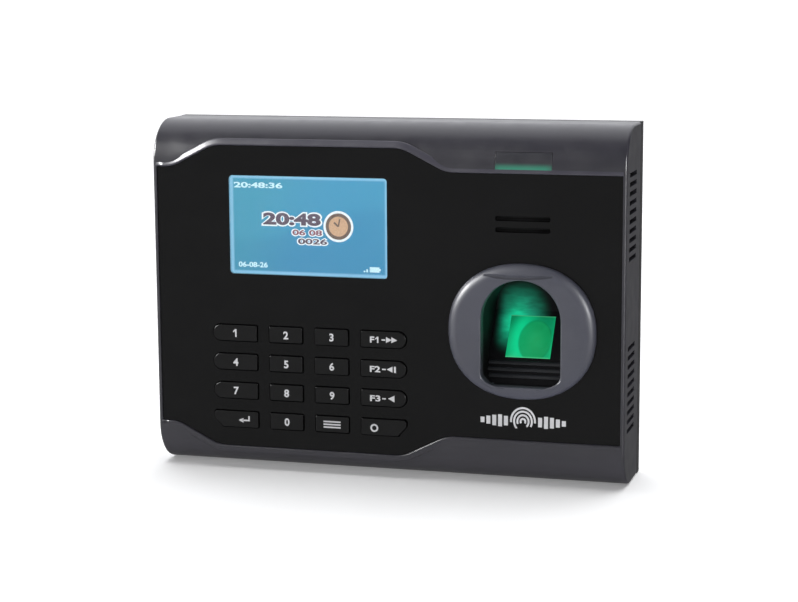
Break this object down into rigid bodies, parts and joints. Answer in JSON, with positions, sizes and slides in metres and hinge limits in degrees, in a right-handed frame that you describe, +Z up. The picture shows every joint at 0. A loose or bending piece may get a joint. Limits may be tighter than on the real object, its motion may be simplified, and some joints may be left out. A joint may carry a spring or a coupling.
{
  "type": "fingerprint scanner terminal",
  "caption": "Wall-mounted fingerprint time clock: black front panel with colour display, keypad and lit finger reader in a grey curved frame, on a steel wall plate.",
  "frame": {"origin": "centre of the wall face, the back of the steel wall plate, midway between the four wall screws", "axes": "+X to the right as seen from the front, +Y from the front into the wall, +Z up"},
  "size_m": [0.1924, 0.0416, 0.141],
  "materials": {
    "plate_steel": "satin powder-coated sheet steel",
    "screw_steel": "zinc-plated steel",
    "cover_plastic": "fine-textured black plastic",
    "frame_plastic": "satin metallic grey plastic",
    "panel_gloss": "gloss black plastic",
    "window_clear": "clear polished plastic lens",
    "lcd_glass": "display cell, lit blue",
    "lcd_frame": "bright tin frame",
    "flex_amber": "amber polyimide film",
    "mat_silicone": "silicone rubber",
    "board_green": "green solder mask",
    "cable_white": "ribbon cable",
    "key_black": "satin black plastic",
    "bezel_grey": "satin metallic grey plastic",
    "cup_black": "gloss black plastic",
    "prism_glass": "optical glass, lit green",
    "optics_black": "matt black plastic",
    "indicator_lens": "translucent grey plastic, lit green at its lower edge",
    "speaker_black": "coated paper cone and steel basket",
    "mesh_black": "woven dust cloth",
    "shield_metal": "tin-plated steel can",
    "capacitor_blue": "printed sleeve",
    "cell_steel": "nickel-plated cell",
    "relay_blue": "moulded relay case",
    "jack_metal": "tin-plated shell",
    "terminal_green": "green plastic terminal block",
    "jack_black": "black plastic",
    "insert_brass": "knurled brass",
    "button_red": "red plastic"
  },
  "bodies": {
    "wall_plate": {"wall_plate": "plate_steel", "lock_screw": "screw_steel"},
    "case": {"rear_cover": "cover_plastic", "front_frame": "frame_plastic", "front_panel": "panel_gloss", "screen_window": "window_clear", "lcd_panel": "lcd_glass", "lcd_backlight": "lcd_frame", "lcd_flex": "flex_amber", "keypad_mat": "mat_silicone", "keypad_board": "board_green", "keypad_cable": "cable_white", "sensor_bezel": "bezel_grey", "sensor_cup": "cup_black", "sensor_prism": "prism_glass", "sensor_housing": "optics_black", "sensor_lens": "optics_black", "sensor_camera_board": "board_green", "sensor_led_board": "board_green", "sensor_cable": "cable_white", "indicator_lens": "indicator_lens", "indicator_board": "board_green", "speaker": "speaker_black", "speaker_mesh": "mesh_black", "main_board": "board_green", "processor_shield": "shield_metal", "main_capacitors": "capacitor_blue", "clock_cell": "cell_steel", "door_relay": "relay_blue", "network_jack": "jack_metal", "terminal_block": "terminal_green", "power_jack": "jack_black", "usb_socket": "jack_metal", "usb_door_pin": "screw_steel", "tamper_switch": "jack_black", "case_screws": "screw_steel", "case_inserts": "insert_brass", "board_screws": "screw_steel"},
    "key_1": {"key_1": "key_black"},
    "key_2": {"key_2": "key_black"},
    "key_3": {"key_3": "key_black"},
    "key_f1": {"key_f1": "key_black"},
    "key_4": {"key_4": "key_black"},
    "key_5": {"key_5": "key_black"},
    "key_6": {"key_6": "key_black"},
    "key_f2": {"key_f2": "key_black"},
    "key_7": {"key_7": "key_black"},
    "key_8": {"key_8": "key_black"},
    "key_9": {"key_9": "key_black"},
    "key_f3": {"key_f3": "key_black"},
    "key_enter": {"key_enter": "key_black"},
    "key_0": {"key_0": "key_black"},
    "key_menu": {"key_menu": "key_black"},
    "key_ok": {"key_ok": "key_black"},
    "usb_door": {"usb_door": "frame_plastic"},
    "tamper_button": {"tamper_button": "button_red"}
  },
  "joints": [
    {"name": "case_lift", "type": "slide", "parent": "wall_plate", "child": "case", "axis": [0, 0, 1], "range_m": [0, 0.006]},
    {"name": "key_1_press", "type": "slide", "parent": "case", "child": "key_1", "axis": [0, 1, 0], "range_m": [0, 0.0008], "stiffness_N_per_m": 1500, "springref_m": -0.0004},
    {"name": "key_2_press", "type": "slide", "parent": "case", "child": "key_2", "axis": [0, 1, 0], "range_m": [0, 0.0008], "stiffness_N_per_m": 1500, "springref_m": -0.0004},
    {"name": "key_3_press", "type": "slide", "parent": "case", "child": "key_3", "axis": [0, 1, 0], "range_m": [0, 0.0008], "stiffness_N_per_m": 1500, "springref_m": -0.0004},
    {"name": "key_f1_press", "type": "slide", "parent": "case", "child": "key_f1", "axis": [0, 1, 0], "range_m": [0, 0.0008], "stiffness_N_per_m": 1500, "springref_m": -0.0004},
    {"name": "key_4_press", "type": "slide", "parent": "case", "child": "key_4", "axis": [0, 1, 0], "range_m": [0, 0.0008], "stiffness_N_per_m": 1500, "springref_m": -0.0004},
    {"name": "key_5_press", "type": "slide", "parent": "case", "child": "key_5", "axis": [0, 1, 0], "range_m": [0, 0.0008], "stiffness_N_per_m": 1500, "springref_m": -0.0004},
    {"name": "key_6_press", "type": "slide", "parent": "case", "child": "key_6", "axis": [0, 1, 0], "range_m": [0, 0.0008], "stiffness_N_per_m": 1500, "springref_m": -0.0004},
    {"name": "key_f2_press", "type": "slide", "parent": "case", "child": "key_f2", "axis": [0, 1, 0], "range_m": [0, 0.0008], "stiffness_N_per_m": 1500, "springref_m": -0.0004},
    {"name": "key_7_press", "type": "slide", "parent": "case", "child": "key_7", "axis": [0, 1, 0], "range_m": [0, 0.0008], "stiffness_N_per_m": 1500, "springref_m": -0.0004},
    {"name": "key_8_press", "type": "slide", "parent": "case", "child": "key_8", "axis": [0, 1, 0], "range_m": [0, 0.0008], "stiffness_N_per_m": 1500, "springref_m": -0.0004},
    {"name": "key_9_press", "type": "slide", "parent": "case", "child": "key_9", "axis": [0, 1, 0], "range_m": [0, 0.0008], "stiffness_N_per_m": 1500, "springref_m": -0.0004},
    {"name": "key_f3_press", "type": "slide", "parent": "case", "child": "key_f3", "axis": [0, 1, 0], "range_m": [0, 0.0008], "stiffness_N_per_m": 1500, "springref_m": -0.0004},
    {"name": "key_enter_press", "type": "slide", "parent": "case", "child": "key_enter", "axis": [0, 1, 0], "range_m": [0, 0.0008], "stiffness_N_per_m": 1500, "springref_m": -0.0004},
    {"name": "key_0_press", "type": "slide", "parent": "case", "child": "key_0", "axis": [0, 1, 0], "range_m": [0, 0.0008], "stiffness_N_per_m": 1500, "springref_m": -0.0004},
    {"name": "key_menu_press", "type": "slide", "parent": "case", "child": "key_menu", "axis": [0, 1, 0], "range_m": [0, 0.0008], "stiffness_N_per_m": 1500, "springref_m": -0.0004},
    {"name": "key_ok_press", "type": "slide", "parent": "case", "child": "key_ok", "axis": [0, 1, 0], "range_m": [0, 0.0008], "stiffness_N_per_m": 1500, "springref_m": -0.0004},
    {"name": "usb_door_swing", "type": "hinge", "parent": "case", "child": "usb_door", "pos_m": [-0.0951, -0.0126, 0.00195], "axis": [0, 0, -1], "range_deg": [0, 90]},
    {"name": "tamper_press", "type": "slide", "parent": "case", "child": "tamper_button", "axis": [0, -1, 0], "range_m": [0, 0.0008], "stiffness_N_per_m": 800, "springref_m": -0.001}
  ]
}
